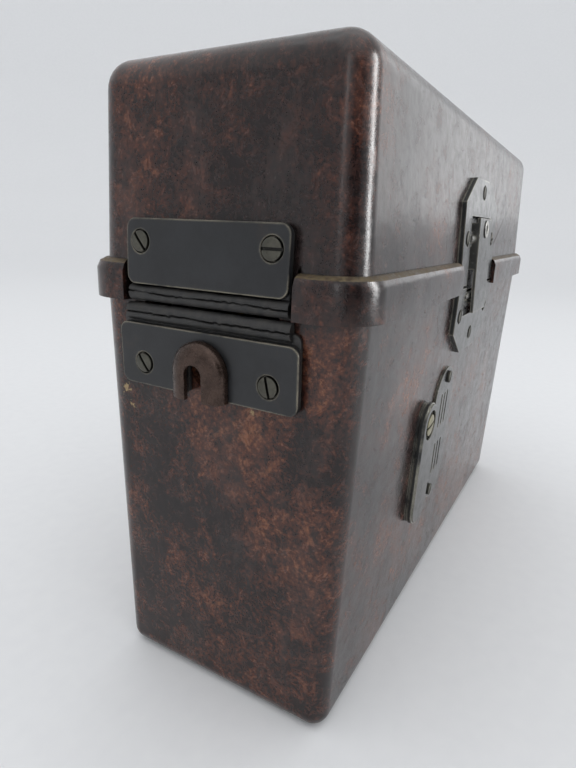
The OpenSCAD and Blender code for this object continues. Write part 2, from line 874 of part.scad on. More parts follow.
module handset_body() {
    color("saddlebrown") difference() {
        union() {
            translate([ear_x, 0, seat_z + 9]) cylinder(r = 25, h = 24);
            translate([mouth_x, 0, seat_z + 12]) cylinder(r = 26, h = 23);
            translate([ear_x, 0, seat_z + 33]) cylinder(r1 = 25, r2 = 12, h = 8);
            translate([mouth_x, 0, seat_z + 35]) cylinder(r1 = 26, r2 = 12, h = 8);
            hull() {
                for (x = [ear_x, mouth_x]) translate([x, 0, handle_z]) scale([1, 0.8, 0.62])
                    sphere(13, $fn = 28);
            }
        }
        translate([ear_x, 0, seat_z + 8]) cylinder(r = 22, h = 18);
        translate([mouth_x, 0, seat_z + 11]) cylinder(r = 23, h = 18);
        translate([-12, -5, handle_z - 10]) cube([56, 10, 11]);
        translate([-6, 0, handle_z - 3.5]) rod_y(1, -9, 9);
    }
}

module perforated_cap(x, r, h, rings) {
    translate([x, 0, seat_z]) difference() {
        union() {
            cylinder(r = r - 2, h = 2.1);
            translate([0, 0, 2]) cylinder(r = r, h = h - 2);
        }
        translate([0, 0, 3]) cylinder(r = r - 4, h = h);
        for (ring = rings, a = [0 : 360 / ring[1] : 359])
            rotate([0, 0, a]) translate([ring[0], 0, -1]) cylinder(r = 1.1, h = 6, $fn = 16);
    }
}

module receiver_cap() {
    color("black") perforated_cap(ear_x, 27, 9, [[0, 1], [5, 6], [10, 12]]);
}

module transmitter_cap() {
    color("black") perforated_cap(mouth_x, 28, 12, [[0, 1], [5, 6], [10, 12], [15, 18]]);
}

module receiver_capsule() {
    color("silver") translate([ear_x, 0, seat_z + 3]) cylinder(r = 21.5, h = 22);
}

module transmitter_capsule() {
    color("silver") translate([mouth_x, 0, seat_z + 3]) cylinder(r = 22.5, h = 25);
}

module handset_key_pin() {
    color("silver") translate([-6, 0, handle_z - 3.5]) rod_y(1, -8.8, 8.8);
}

module handset_key() {
    color("black") difference() {
        union() {
            translate([-10, -4.5, handle_z - 12]) cube([50, 9, 10]);
            translate([-2, -4.5, handle_z - 14]) cube([38, 9, 3]);
        }
        translate([-6, 0, handle_z - 3.5]) rod_y(1.06, -9, 9);
    }
}

case_shell();
lower_clamp_plate();
lower_rubber_lip();
strap_lug_left();
strap_plate_right();
strap_lug_right();
strap_plate_screws();
keeper_plate();
keeper_bar();
case_screws();
sound_plate();
crank_cover_screw();
case_hinge_leaf();
hinge_pin();
inner_panel();
panel_screws();
handset_seats();
battery_cover();
battery_box();
dry_cell();
induction_coil();
capacitor();
generator_frame();
generator_magnets();
bell_frame();
bell_coils();
left_gong();
right_gong();
gong_screws();
terminal_posts();
terminal_nut_a();
terminal_nut_b();
test_key_bush();
crank_clips();
crank_arm();
handset_body();
receiver_cap();
transmitter_cap();
receiver_capsule();
transmitter_capsule();
handset_key_pin();
lid_shell();
upper_clamp_plate();
upper_rubber_lip();
upper_clamp_screws();
latch_plate();
latch_pin();
latch_plate_screws();
latch_spring();
lid_hinge_leaf();
lid_hinge_screws();
latch_lever();
latch_eyelet();
crank_cover();
crank_shaft();
armature();
clapper();
test_key();
handset_key();
crank_grip();
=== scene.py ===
# %% [markdown]
# # A field telephone in a moulded case
# The model comes in as a fixed frame from the CAD side, with every part in place.
# This lesson gives that frame its looks: worn edges, mottled moulding, blued steel and perished
# rubber. Lengths are in metres. +X runs along the case, -Y is the latch side and +Z is up.

# %% Load the frame
import json
import math

import bmesh
import bpy
from mathutils import Matrix, Vector, noise

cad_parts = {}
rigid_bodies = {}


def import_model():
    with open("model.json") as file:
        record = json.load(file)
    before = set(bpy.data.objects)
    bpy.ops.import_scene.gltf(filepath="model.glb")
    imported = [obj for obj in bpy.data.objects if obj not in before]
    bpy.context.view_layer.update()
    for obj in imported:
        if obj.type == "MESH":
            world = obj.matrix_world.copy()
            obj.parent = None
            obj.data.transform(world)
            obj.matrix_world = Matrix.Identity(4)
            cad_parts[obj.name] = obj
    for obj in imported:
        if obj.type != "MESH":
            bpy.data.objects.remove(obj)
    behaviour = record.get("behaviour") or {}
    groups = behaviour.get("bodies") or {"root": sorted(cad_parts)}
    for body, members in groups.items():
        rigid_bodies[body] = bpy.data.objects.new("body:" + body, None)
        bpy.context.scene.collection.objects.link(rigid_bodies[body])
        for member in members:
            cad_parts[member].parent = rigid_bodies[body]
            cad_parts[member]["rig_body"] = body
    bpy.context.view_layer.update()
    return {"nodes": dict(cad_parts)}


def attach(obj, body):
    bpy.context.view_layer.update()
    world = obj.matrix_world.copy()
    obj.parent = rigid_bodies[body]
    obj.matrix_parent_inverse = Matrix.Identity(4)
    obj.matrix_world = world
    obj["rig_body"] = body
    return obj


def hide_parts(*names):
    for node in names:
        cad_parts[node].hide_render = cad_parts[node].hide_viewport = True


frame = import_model()
nodes = frame["nodes"]
MM = 0.001
body_of_node = {name: obj["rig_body"] for name, obj in nodes.items()}

# %% [markdown]
# ## Where the walls stand
# The case and the lid were moulded with draft: each wall leans so that the moulding left its
# tool. Fittings are flat on a wall, so a piece is drawn flat and then stood against it. The
# matrices below do that: u along the wall, v up it from the seam, w out of it.

# %% Frames of the leaning walls
SEAM_Z = 0.136
HALF_L = 0.1315
HALF_W = 0.046
CASE_LEAN = math.atan(3.6 / 130)
LID_LEAN = math.atan(2.5 / 60)
FRONT, LEFT_END, RIGHT_END, BACK = 0, -90, 90, 180


def wall_frame(side, half, lean):
    """The matrix that stands a flat drawing against a wall."""
    turn = Matrix.Rotation(math.radians(side), 4, "Z")
    place = Matrix.Translation((0, -half, SEAM_Z))
    return turn @ place @ Matrix.Rotation(math.pi / 2 + lean, 4, "X")


case_front = wall_frame(FRONT, HALF_W, CASE_LEAN)
case_left = wall_frame(LEFT_END, HALF_L, CASE_LEAN)
case_right = wall_frame(RIGHT_END, HALF_L, CASE_LEAN)
case_back = wall_frame(BACK, HALF_W, CASE_LEAN)
lid_front = wall_frame(FRONT, HALF_W, -LID_LEAN)
lid_left = wall_frame(LEFT_END, HALF_L, -LID_LEAN)
lid_back = wall_frame(BACK, HALF_W, -LID_LEAN)
print("wall lean", round(math.degrees(CASE_LEAN), 2), "and", round(math.degrees(LID_LEAN), 2))

# %% [markdown]
# ## Camera
# The eye stands close to the narrow end, a little above the rim and so below the top of the
# lid, which makes the long side run away steeply. The lens is short for the same reason.

# %% Place the camera
EYE = Vector((-0.25357, -0.09639, 0.1595))
AZIMUTH, ELEVATION, ROLL = math.radians(-60.538), math.radians(16.33), math.radians(2.171)

toward_eye = Vector(
    (
        math.sin(AZIMUTH) * math.cos(ELEVATION),
        -math.cos(AZIMUTH) * math.cos(ELEVATION),
        math.sin(ELEVATION),
    )
)
level = (-toward_eye).cross(Vector((0, 0, 1))).normalized()
upright = level.cross(-toward_eye)
across = math.cos(ROLL) * level + math.sin(ROLL) * upright
up = -math.sin(ROLL) * level + math.cos(ROLL) * upright
lens = bpy.data.cameras.new("camera")
lens.sensor_width = 36
lens.lens = 25.278
lens.clip_start = 0.01
camera = bpy.data.objects.new("camera", lens)
camera.matrix_world = Matrix((across, up, toward_eye)).transposed().to_4x4()
camera.location = EYE
bpy.context.scene.collection.objects.link(camera)
bpy.context.scene.camera = camera
bpy.context.scene.view_settings.view_transform = "Standard"
print("lens", round(lens.lens, 2), "mm")

# %% [markdown]
# ## Selecting and modelling by hand
# Blender's operators act on whatever is selected, so each helper first deselects everything.
# Then one object is made active, and the edit-mode steps see only that one.


# %% Helpers for single objects
def pick(obj):
    """Makes obj the only selected object and the active one."""
    if bpy.context.mode != "OBJECT":
        bpy.ops.object.mode_set(mode="OBJECT")
    bpy.ops.object.select_all(action="DESELECT")
    obj.select_set(True)
    bpy.context.view_layer.objects.active = obj


def edit(obj, mode="EDGE"):
    """Opens obj in edit mode with nothing selected and returns its editable mesh."""
    pick(obj)
    bpy.ops.object.mode_set(mode="EDIT")
    bpy.ops.mesh.select_mode(type=mode)
    bpy.ops.mesh.select_all(action="DESELECT")
    return bmesh.from_edit_mesh(obj.data)


def done():
    bpy.ops.object.mode_set(mode="OBJECT")


def apply_modifier(obj, kind, **values):
    """Adds a modifier, sets it and applies it at once."""
    pick(obj)
    modifier = obj.modifiers.new(kind.lower(), kind)
    for key, value in values.items():
        setattr(modifier, key, value)
    bpy.ops.object.modifier_apply(modifier=modifier.name)


def smooth(obj, angle=32):
    """Smooth shading with flat faces kept flat, by weighting normals with face area."""
    pick(obj)
    bpy.ops.object.shade_smooth_by_angle(angle=math.radians(angle))
    apply_modifier(obj, "WEIGHTED_NORMAL", weight=80, keep_sharp=True)


def settle(obj, node, material):
    """The finished piece rides with its node's body and stands for the node."""
    obj.data.materials.clear()
    obj.data.materials.append(material)
    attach(obj, body_of_node[node])
    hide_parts(node)


def drop(obj):
    bpy.data.objects.remove(obj, do_unlink=True)


print("helpers ready")

# %% [markdown]
# ## Softened copies
# A part straight from CAD has knife edges, and real edges catch the light. Where the CAD shape
# is right, its mesh is copied, its loose triangles are merged, flat faces are joined, and every
# sharp edge is bevelled. Merging first matters, because a bevel needs connected faces.


# %% Copy and soften a node
def copy_of(node, name):
    """A clean copy of a CAD node's mesh: merged, with its flat faces joined."""
    piece = nodes[node].copy()
    piece.data = nodes[node].data.copy()
    piece.parent = None
    for key in list(piece.keys()):
        del piece[key]
    piece.name = piece.data.name = name
    bpy.context.scene.collection.objects.link(piece)
    edit(piece)
    bpy.ops.mesh.select_all(action="SELECT")
    bpy.ops.mesh.customdata_custom_splitnormals_clear()
    bpy.ops.mesh.remove_doubles(threshold=5e-6)
    bpy.ops.mesh.dissolve_limited(angle_limit=math.radians(0.6))
    done()
    return piece


def soften(node, name, material, width, segments=2, corner=30):
    """A copy of a node with its sharp edges rounded, which stands for the node."""
    piece = copy_of(node, name)
    apply_modifier(
        piece,
        "BEVEL",
        width=width,
        segments=segments,
        limit_method="ANGLE",
        angle_limit=math.radians(corner),
        use_clamp_overlap=True,
        miter_outer="MITER_ARC",
    )
    smooth(piece)
    settle(piece, node, material)
    return piece


print("softening ready")

# %% [markdown]
# ## Building finishes from nodes
# Every finish is a small tree of nodes on the object's own coordinates, so the pattern stays
# put when a part moves. Noise at two or three sizes gives blotches, grain and scratches; a ramp
# turns it into colour; the same noise also drives roughness and bump, which ties them together.


# %% Node helpers
def srgb(r, g, b):
    """A display colour, 0 to 255, as the linear colour that a shader takes."""
    def linear(c):
        c /= 255
        return c / 12.92 if c <= 0.04045 else ((c + 0.055) / 1.055) ** 2.4

    return (linear(r), linear(g), linear(b), 1)


class Finish:
    """A material with its tree, and short calls that add the nodes used here."""

    def __init__(self, name, roughness=0.5, metallic=0.0, **sockets):
        self.material = bpy.data.materials.new(name)
        self.material.use_nodes = True
        self.tree = self.material.node_tree
        self.shader = next(n for n in self.tree.nodes if n.type == "BSDF_PRINCIPLED")
        self.shader.inputs["Roughness"].default_value = roughness
        self.shader.inputs["Metallic"].default_value = metallic
        for key, value in sockets.items():
            self.shader.inputs[key.replace("_", " ")].default_value = value
        self.place = self.tree.nodes.new("ShaderNodeTexCoord").outputs["Object"]

    def add(self, kind, out=0, **settings):
        """Adds a node. A socket takes a value or another node's output."""
        made = self.tree.nodes.new("ShaderNode" + kind)
        inputs = settings.pop("inputs", {})
        for key, value in settings.items():
            setattr(made, key, value)
        for key, value in inputs.items():
            self.set(made.inputs[key], value)
        return made.outputs[out]

    def set(self, socket, value):
        if isinstance(value, bpy.types.NodeSocket):
            self.tree.links.new(value, socket)
        else:
            socket.default_value = value

    def scaled(self, scale):
        return self.add("Mapping", inputs={"Vector": self.place, "Scale": scale})

    def noise(self, scale, detail=4, rough=0.6, stretch=None, twist=0.0):
        where = self.scaled(stretch) if stretch else self.place
        return self.add(
            "TexNoise",
            inputs={
                "Vector": where,
                "Scale": scale,
                "Detail": detail,
                "Roughness": rough,
                "Distortion": twist,
            },
        )

    def math(self, operation, a, b=0.5, clamp=False):
        return self.add("Math", operation=operation, use_clamp=clamp, inputs={0: a, 1: b})

    def step(self, value, low, high, to_low=0.0, to_high=1.0):
        """Value rising smoothly between low and high."""
        return self.add(
            "MapRange",
            interpolation_type="SMOOTHSTEP",
            inputs={0: value, 1: low, 2: high, 3: to_low, 4: to_high},
        )

    def mix(self, factor, a, b):
        return self.add(
            "Mix", out=2, data_type="RGBA", inputs={0: factor, 6: a, 7: b}
        )

    def ramp(self, value, stops):
        made = self.tree.nodes.new("ShaderNodeValToRGB")
        self.set(made.inputs[0], value)
        stop = made.color_ramp.elements
        while len(stop) < len(stops):
            stop.new(0.5)
        for one, (at, colour) in zip(stop, stops):
            one.position = at
            one.color = colour
        return made.outputs[0]

    def edges(self, radius):
        """1 on edges within radius, from the difference between true and rounded normals."""
        rounded = self.add("Bevel", samples=6, inputs={"Radius": radius})
        true = self.add("NewGeometry", out=1)
        same = self.add("VectorMath", out=1, operation="DOT_PRODUCT", inputs={0: rounded, 1: true})
        return self.math("SUBTRACT", 1.0, same, clamp=True)

    def crevice(self, distance):
        """1 in the open, towards 0 in slots and corners. The finishes paint shade there with it."""
        return self.add("AmbientOcclusion", out=1, samples=6, inputs={"Distance": distance})

    def facing_up(self):
        true = self.add("NewGeometry", out=1)
        return self.add("SeparateXYZ", out=2, inputs={0: true})

    def height(self):
        return self.add("SeparateXYZ", out=2, inputs={0: self.place})

    def near(self, point, radius, ragged):
        """1 inside a ragged spot round a point."""
        away = self.add("VectorMath", out=1, operation="DISTANCE", inputs={0: self.place, 1: point})
        shaken = self.math("ADD", away, self.math("MULTIPLY", ragged, radius * 4))
        return self.step(shaken, radius * 2.2, radius * 2.5, 1.0, 0.0)

    def bump(self, height, distance, strength=1.0, under=None):
        inputs = {"Height": height, "Distance": distance, "Strength": strength}
        if under:
            inputs["Normal"] = under
        return self.add("Bump", inputs=inputs)

    def use(self, colour=None, roughness=None, normal=None, metallic=None):
        for key, value in (
            ("Base Color", colour),
            ("Roughness", roughness),
            ("Normal", normal),
            ("Metallic", metallic),
        ):
            if value is not None:
                self.set(self.shader.inputs[key], value)
        return self.material


print("node helpers ready")

# %% [markdown]
# ### Mottled moulding
# Old phenolic was moulded with a reddish filler that clouds through a near-black brown. Large
# noise gives the clouds, a middle one breaks them up, and a fine one makes the grain inside
# each cloud. Handling has polished it unevenly, and pale dust lies on the ledge of the rim.


# %% Phenolic
LEDGE_BOTTOM = (0.1452, 0.1468)
LEDGE_TOP = (0.1492, 0.151)


def phenolic(name, rust, spots):
    """Mottled moulding. rust is how much red filler shows; spots are chipped places."""
    f = Finish(name, IOR=1.45)
    cloud = f.noise(24, 3, 0.55)
    blotch = f.noise(150, 6, 0.78, twist=0.5)
    grain = f.noise(760, 4, 0.75)
    fine = f.noise(2600, 2, 0.6)
    mottled = f.math("ADD", f.math("MULTIPLY", cloud, 0.5), f.math("MULTIPLY", blotch, 0.5))
    mottled = f.math("ADD", mottled, f.math("MULTIPLY", grain, 0.5))
    base = f.ramp(
        mottled,
        [
            (0.60, srgb(15, 11, 12)),
            (0.71, srgb(34, 22, 21)),
            (0.79 - rust, srgb(52, 31, 26)),
            (0.86 - rust, srgb(80, 45, 34)),
            (0.94 - rust, srgb(122, 78, 54)),
        ],
    )
    soot = f.step(f.noise(170, 6, 0.85), 0.52, 0.6, 0.0, 0.8)
    base = f.mix(soot, base, srgb(24, 19, 20))
    film = f.step(f.noise(48, 6, 0.75, stretch=(1, 1, 0.4)), 0.44, 0.74, 0.0, 0.2)
    speck = f.step(fine, 0.5, 0.66, 0.0, 0.35)
    base = f.mix(f.math("MULTIPLY", film, f.math("ADD", speck, 0.6)), base, srgb(124, 112, 108))
    dust_grain = f.step(f.noise(900, 3, 0.6), 0.35, 0.65)
    ledge = f.step(f.facing_up(), 0.35, 0.8)
    above = f.step(f.height(), *LEDGE_BOTTOM)
    below = f.step(f.height(), *LEDGE_TOP, 1.0, 0.0)
    on_rim = f.math("MULTIPLY", above, below)
    dust = f.math("MULTIPLY", f.math("MULTIPLY", ledge, on_rim), f.math("ADD", dust_grain, 0.45))
    base = f.mix(f.math("MULTIPLY", dust, 0.55, clamp=True), base, srgb(112, 98, 70))
    for point, radius in spots:
        base = f.mix(f.near(point, radius, grain), base, srgb(150, 128, 92))
    # Painted shade: the moulding goes near black in corners and hollows within 5 mm, where ambient
    # occlusion finds them.
    base = f.mix(f.step(f.crevice(0.005), 0.25, 0.8, 0.85, 0.0), base, srgb(9, 7, 7))
    polish = f.step(blotch, 0.35, 0.7, 0.17, 0.32)
    rough = f.math("ADD", polish, f.math("MULTIPLY", dust, 0.4), clamp=True)
    relief = f.math("ADD", f.math("MULTIPLY", grain, 0.6), f.math("MULTIPLY", fine, 0.4))
    waves = f.bump(f.noise(60, 3, 0.5), 0.0012, 0.3)
    return f.use(base, rough, f.bump(relief, 0.00009, 0.5, under=waves))


CHIPS = [
    ((-0.1307, 0.0345, 0.106), 0.0028),
    ((-0.1304, 0.0322, 0.1005), 0.0017),
    ((-0.1305, -0.0155, 0.1075), 0.0012),
    ((-0.1289, -0.0425, 0.037), 0.0014),
]
moulded_case = phenolic("moulded_case", 0.045, CHIPS)
moulded_lid = phenolic("moulded_lid", 0.0, [])
print("phenolic for the case and the lid")

# %% [markdown]
# ### Metals
# Blued steel is nearly black, with a slate cast. It wears bright along its edges, where a
# rounded-normal comparison finds them, and it keeps a brown stain in places. Screws are a paler
# steel; shade is painted near black in the slot and round the head, and in the hollows of every
# bare metal, where ambient occlusion finds them.


# %% Blued, plain and yellow metals
def blued(name, dark, worn, gloss=0.34):
    f = Finish(name, Specular_IOR_Level=0.45)
    cloud = f.noise(95, 5, 0.65)
    grain = f.noise(1400, 3, 0.6)
    scratch = f.noise(220, 5, 0.7)
    base = f.mix(f.step(cloud, 0.35, 0.7), dark, tuple(c * 1.55 for c in dark[:3]) + (1,))
    base = f.mix(f.step(f.noise(60, 5, 0.7), 0.58, 0.75, 0, 0.5), base, srgb(62, 48, 40))
    rubbed = f.math("MULTIPLY", f.step(f.edges(0.0009), 0.006, 0.09), f.step(cloud, 0.3, 0.6))
    base = f.mix(f.math("MULTIPLY", rubbed, 0.8), base, worn)
    rough = f.math("ADD", f.step(scratch, 0.3, 0.7, gloss - 0.06, gloss + 0.08), 0)
    metal = f.math("MULTIPLY", rubbed, 0.7)
    return f.use(base, rough, f.bump(grain, 0.00006, 0.5), metal)


def bare(name, light, dirt, gloss=0.36, metallic=0.85):
    f = Finish(name, metallic=metallic)
    grain = f.noise(900, 4, 0.65)
    cloud = f.noise(240, 4, 0.6)
    base = f.mix(f.step(cloud, 0.3, 0.7), light, tuple(c * 0.62 for c in light[:3]) + (1,))
    base = f.mix(f.step(grain, 0.55, 0.75, 0, 0.6), base, dirt)
    # Painted shade: near black in slots and hollows, where ambient occlusion finds them.
    base = f.mix(f.step(f.crevice(0.0011), 0.5, 0.92, 1.0, 0.0), base, srgb(16, 14, 12))
    return f.use(base, f.step(grain, 0.3, 0.7, gloss, gloss + 0.22), f.bump(grain, 0.00005, 0.5))


gunmetal = blued("gunmetal", srgb(27, 28, 30), srgb(172, 164, 144))
front_blue = blued("front_blue", srgb(34, 35, 35), srgb(188, 184, 168), 0.2)
latch_steel = blued("latch_steel", srgb(58, 58, 56), srgb(206, 200, 184), 0.22)
screw_steel = bare("screw_steel", srgb(84, 82, 73), srgb(38, 34, 29), 0.38, 0.45)
bright_steel = bare("bright_steel", srgb(176, 175, 170), srgb(92, 88, 80), 0.26)
spring_steel = bare("spring_steel", srgb(132, 134, 138), srgb(74, 72, 68), 0.3)
worn_bronze = bare("worn_bronze", srgb(76, 61, 54), srgb(24, 22, 21), 0.16, 0.7)
brass = bare("brass", srgb(196, 160, 92), srgb(112, 86, 44), 0.26)
dull_brass = bare("dull_brass", srgb(150, 144, 116), srgb(84, 74, 52), 0.28)
print("metals ready")

# %% [markdown]
# ### Rubber, felt, plastics and paints
# The lips are perished: their black skin has split lengthways and gone grey-brown. The parts
# behind the lid are better kept, so their finishes are plainer, but each still has grain.


# %% Other finishes
def coated(name, light, dark, rough, size, relief, metallic=0.0, **sockets):
    """A finish that wanders between two colours, with grain of one size."""
    f = Finish(name, metallic=metallic, **sockets)
    cloud = f.noise(size * 0.12, 4, 0.6)
    grain = f.noise(size, 4, 0.65)
    base = f.mix(f.step(f.math("ADD", cloud, grain), 0.8, 1.2), dark, light)
    gloss = f.step(grain, 0.3, 0.7, rough - 0.08, rough + 0.1)
    return f.use(base, gloss, f.bump(grain, relief, 0.6))


def perished(name, light, dark):
    """Old rubber: greyed on top, with painted shade, near black, inside its splits and in crevices.
    """
    f = Finish(name)
    bloom = f.noise(320, 5, 0.7)
    grain = f.noise(1500, 4, 0.7)
    base = f.mix(f.step(bloom, 0.35, 0.7), dark, light)
    base = f.mix(f.step(f.noise(90, 4, 0.7), 0.55, 0.75, 0, 0.4), base, srgb(66, 52, 42))
    # Painted shade: near black inside the splits, from the split attribute, and in crevices that
    # ambient occlusion finds.
    split = f.add("Attribute", out=2, attribute_name="split")
    painted_shade_places = f.math("MAXIMUM", split, f.step(f.crevice(0.0009), 0.4, 0.85, 1.0, 0.0))
    base = f.mix(painted_shade_places, base, srgb(6, 5, 5))
    return f.use(base, f.step(bloom, 0.3, 0.7, 0.44, 0.62), f.bump(grain, 0.0001, 0.6))


def wound(name, light, dark):
    """A coil's varnished wire: fine turns across the winding."""
    f = Finish(name)
    turns = f.add(
        "TexWave",
        out=1,
        bands_direction="Z",
        inputs={"Vector": f.place, "Scale": 420, "Distortion": 0.6, "Detail": 2},
    )
    base = f.mix(turns, dark, light)
    return f.use(base, f.step(turns, 0.2, 0.9, 0.5, 0.3), f.bump(turns, 0.0002, 0.8))


old_rubber = perished("old_rubber", srgb(52, 50, 48), srgb(27, 27, 28))
felt = coated("felt", srgb(104, 108, 84), srgb(66, 70, 54), 0.95, 1500, 0.0005, Sheen_Weight=0.3)
black_plastic = coated("black_plastic", srgb(30, 28, 28), srgb(17, 16, 16), 0.24, 900, 0.00004)
red_key = coated("red_key", srgb(140, 32, 24), srgb(96, 20, 16), 0.3, 900, 0.00004)
panel_enamel = coated("panel_enamel", srgb(52, 54, 52), srgb(30, 32, 31), 0.42, 2200, 0.00012)
box_paint = coated("box_paint", srgb(112, 116, 112), srgb(84, 88, 85), 0.5, 1200, 0.0001)
cell_wrap = coated("cell_wrap", srgb(170, 148, 104), srgb(128, 106, 68), 0.62, 600, 0.0002)
iron = coated("iron", srgb(62, 62, 64), srgb(36, 36, 38), 0.55, 800, 0.00015, metallic=0.6)
magnet_red = coated("magnet_red", srgb(128, 30, 22), srgb(84, 18, 14), 0.35, 700, 0.0001)
can_metal = coated("can_metal", srgb(168, 168, 166), srgb(120, 120, 118), 0.36, 500, 0.00006, 0.9)
laminated = wound("laminated", srgb(120, 92, 66), srgb(58, 44, 34))
varnished = wound("varnished", srgb(134, 44, 26), srgb(62, 16, 12))
print("other finishes ready")

# %% [markdown]
# ## Case, lid and flat fittings
# These shapes are right in CAD, so they become softened copies. Plates that were stamped get a
# small round on each edge; the mouldings get a larger one, as their tool had.

# %% Mouldings and stampings
soften("case_shell", "case_moulding", moulded_case, 0.6 * MM, 3)
soften("lid_shell", "lid_moulding", moulded_lid, 0.9 * MM, 3)
for node, name, finish, width in (
    ("upper_clamp_plate", "clamp_plate_above", gunmetal, 0.6),
    ("lower_clamp_plate", "clamp_plate_below", gunmetal, 0.6),
    ("strap_plate_right", "strap_plate_far", gunmetal, 0.6),
    ("latch_plate", "latch_stamping", front_blue, 0.35),
    ("keeper_plate", "keeper_stamping", front_blue, 0.35),
    ("sound_plate", "slotted_stamping", front_blue, 0.25),
    ("crank_cover", "swinging_cover", front_blue, 0.6),
    ("case_hinge_leaf", "hinge_leaf_below", gunmetal, 0.3),
    ("lid_hinge_leaf", "hinge_leaf_above", gunmetal, 0.3),
):
    soften(node, name, finish, width * MM)
soften("latch_lever", "lever_stamping", latch_steel, 0.35 * MM)
soften("latch_eyelet", "rolled_eyelet", bright_steel, 0.22 * MM, 3)
print("softened mouldings and stampings")

# %% [markdown]
# ## Slotted screws
# Tarnished slotted screws sit flush in the plates, each turned as it was left, with a dark ring
# where the head is smaller than its hole. Each head is turned the same way, its rim rounded and
# its slot cut by a boolean, and then stood in its place.


# %% Model the screws one by one
def join(parts, name):
    """Makes one object of several, each of which keeps its own shape."""
    pick(parts[0])
    for part in parts[1:]:
        part.select_set(True)
    bpy.ops.object.join()
    parts[0].name = parts[0].data.name = name
    return parts[0]


def cut_away(obj, cutter):
    """Cuts a closed shape out of obj and throws the cutter away."""
    apply_modifier(obj, "BOOLEAN", object=cutter, operation="DIFFERENCE", solver="EXACT")
    drop(cutter)


def turned_disc(radius, low, high, sides=40):
    """A closed disc between two heights, ready to be shaped."""
    bpy.ops.object.select_all(action="DESELECT")
    bpy.ops.mesh.primitive_cylinder_add(
        vertices=sides, radius=radius, depth=high - low, location=(0, 0, (low + high) / 2)
    )
    disc = bpy.context.object
    bpy.ops.object.transform_apply()
    return disc


def block(low, high):
    """A closed block between two corners."""
    middle = (Vector(low) + Vector(high)) / 2
    bpy.ops.object.select_all(action="DESELECT")
    bpy.ops.mesh.primitive_cube_add(size=1, location=middle)
    made = bpy.context.object
    made.scale = Vector(high) - Vector(low)
    bpy.ops.object.transform_apply()
    return made


def screw_at(head, face, turn, ring=0.3 * MM, proud=0.3 * MM):
    """A screw head with a domed, slotted face, and the top of its shank."""
    radius = head - ring
    screw = turned_disc(radius, face - 1.1 * MM, face + proud)
    edit(screw, "FACE")
    mesh = bmesh.from_edit_mesh(screw.data)
    mesh.faces.ensure_lookup_table()
    for side in mesh.faces:
        side.select = side.normal.z > 0.9
    bmesh.update_edit_mesh(screw.data)
    bpy.ops.mesh.inset(thickness=radius * 0.3)
    bpy.ops.transform.translate(value=(0, 0, 0.14 * MM))
    bpy.ops.mesh.inset(thickness=radius * 0.4)
    bpy.ops.transform.translate(value=(0, 0, 0.05 * MM))
    for side in bmesh.from_edit_mesh(screw.data).faces:
        side.select = side.normal.z < -0.9
    bpy.ops.mesh.inset(thickness=radius - 1.4 * MM)
    bpy.ops.mesh.extrude_region_move(TRANSFORM_OT_translate={"value": (0, 0, -1.6 * MM)})
    done()
    reach, half_slot = head + MM, 0.42 * MM
    slot = block((-reach, -half_slot, face - 0.45 * MM), (reach, half_slot, face + 2 * MM))
    cut_away(screw, slot)
    apply_modifier(
        screw, "BEVEL", width=0.12 * MM, segments=2, limit_method="ANGLE", angle_limit=0.6
    )
    screw.data.transform(Matrix.Rotation(math.radians(turn), 4, "Z"))
    return screw


def screw_set(node, name, material, places):
    """All the screws of one node. places is (wall, u, v, head, face, turn), in millimetres."""
    made = []
    for wall, u, v, head, face, turn in places:
        screw = screw_at(head * MM, face * MM, turn)
        screw.data.transform(wall @ Matrix.Translation((u * MM, v * MM, 0)))
        made.append(screw)
    piece = join(made, name)
    smooth(piece)
    settle(piece, node, material)
    print(name, len(places))


CLAMP, PLATE, LEAF, SOUND = 3.2, 2.0, 2.5, 1.6
screw_set(
    "upper_clamp_screws",
    "clamp_screws_above",
    screw_steel,
    [(lid_left, -22.6, 17.6, 3.3, CLAMP, -50), (lid_left, 22.6, 17.6, 3.3, CLAMP, 0)],
)
screw_set(
    "strap_plate_screws",
    "strap_screws",
    screw_steel,
    [(case_left, -22.6, -18.8, 3.3, CLAMP, -55), (case_left, 22.6, -18.8, 3.3, CLAMP, -78)]
    + [(case_right, u, -18.8, 3.3, CLAMP, 20) for u in (-22.6, 22.6)],
)
screw_set(
    "latch_plate_screws",
    "latch_screws",
    screw_steel,
    [
        (lid_front, u, v, 2.9, PLATE, turn)
        for u, v, turn in ((-25, 21, 70), (25, 21, 15), (0, 40, 85))
    ],
)
screw_set(
    "case_screws",
    "wall_screws",
    screw_steel,
    [
        (case_front, u, v, 2.9, PLATE, turn)
        for u, v, turn in ((-25, -10, 80), (25, -10, 40), (0, -20, 88))
    ]
    + [(case_front, u, v, 2.9, SOUND, 62) for u, v in ((-24.5, -36), (-31, -87))]
    + [(case_back, u, -16, 2.9, LEAF, 35) for u in (-45, 0, 45)],
)
screw_set(
    "lid_hinge_screws",
    "hinge_screws",
    screw_steel,
    [(lid_back, u, 17, 2.7, LEAF, 125) for u in (-45, 0, 45)],
)
screw_set(
    "crank_cover_screw", "pivot_screw", dull_brass, [(case_front, -53.5, -49, 4.6, 3.1, 8)]
)

# %% [markdown]
# ## Perished rubber lips
# Two rubber strips close the wire inlet, each a bead on a sheet that its plate holds. Age has
# split each bead lengthways. A cylinder is divided along its length, its back half is flattened,
# and the points near a wandering line are pushed in, so that the split is real geometry. The
# sheet is a thin block with its corners bevelled. The lower one is cut round the strap socket.


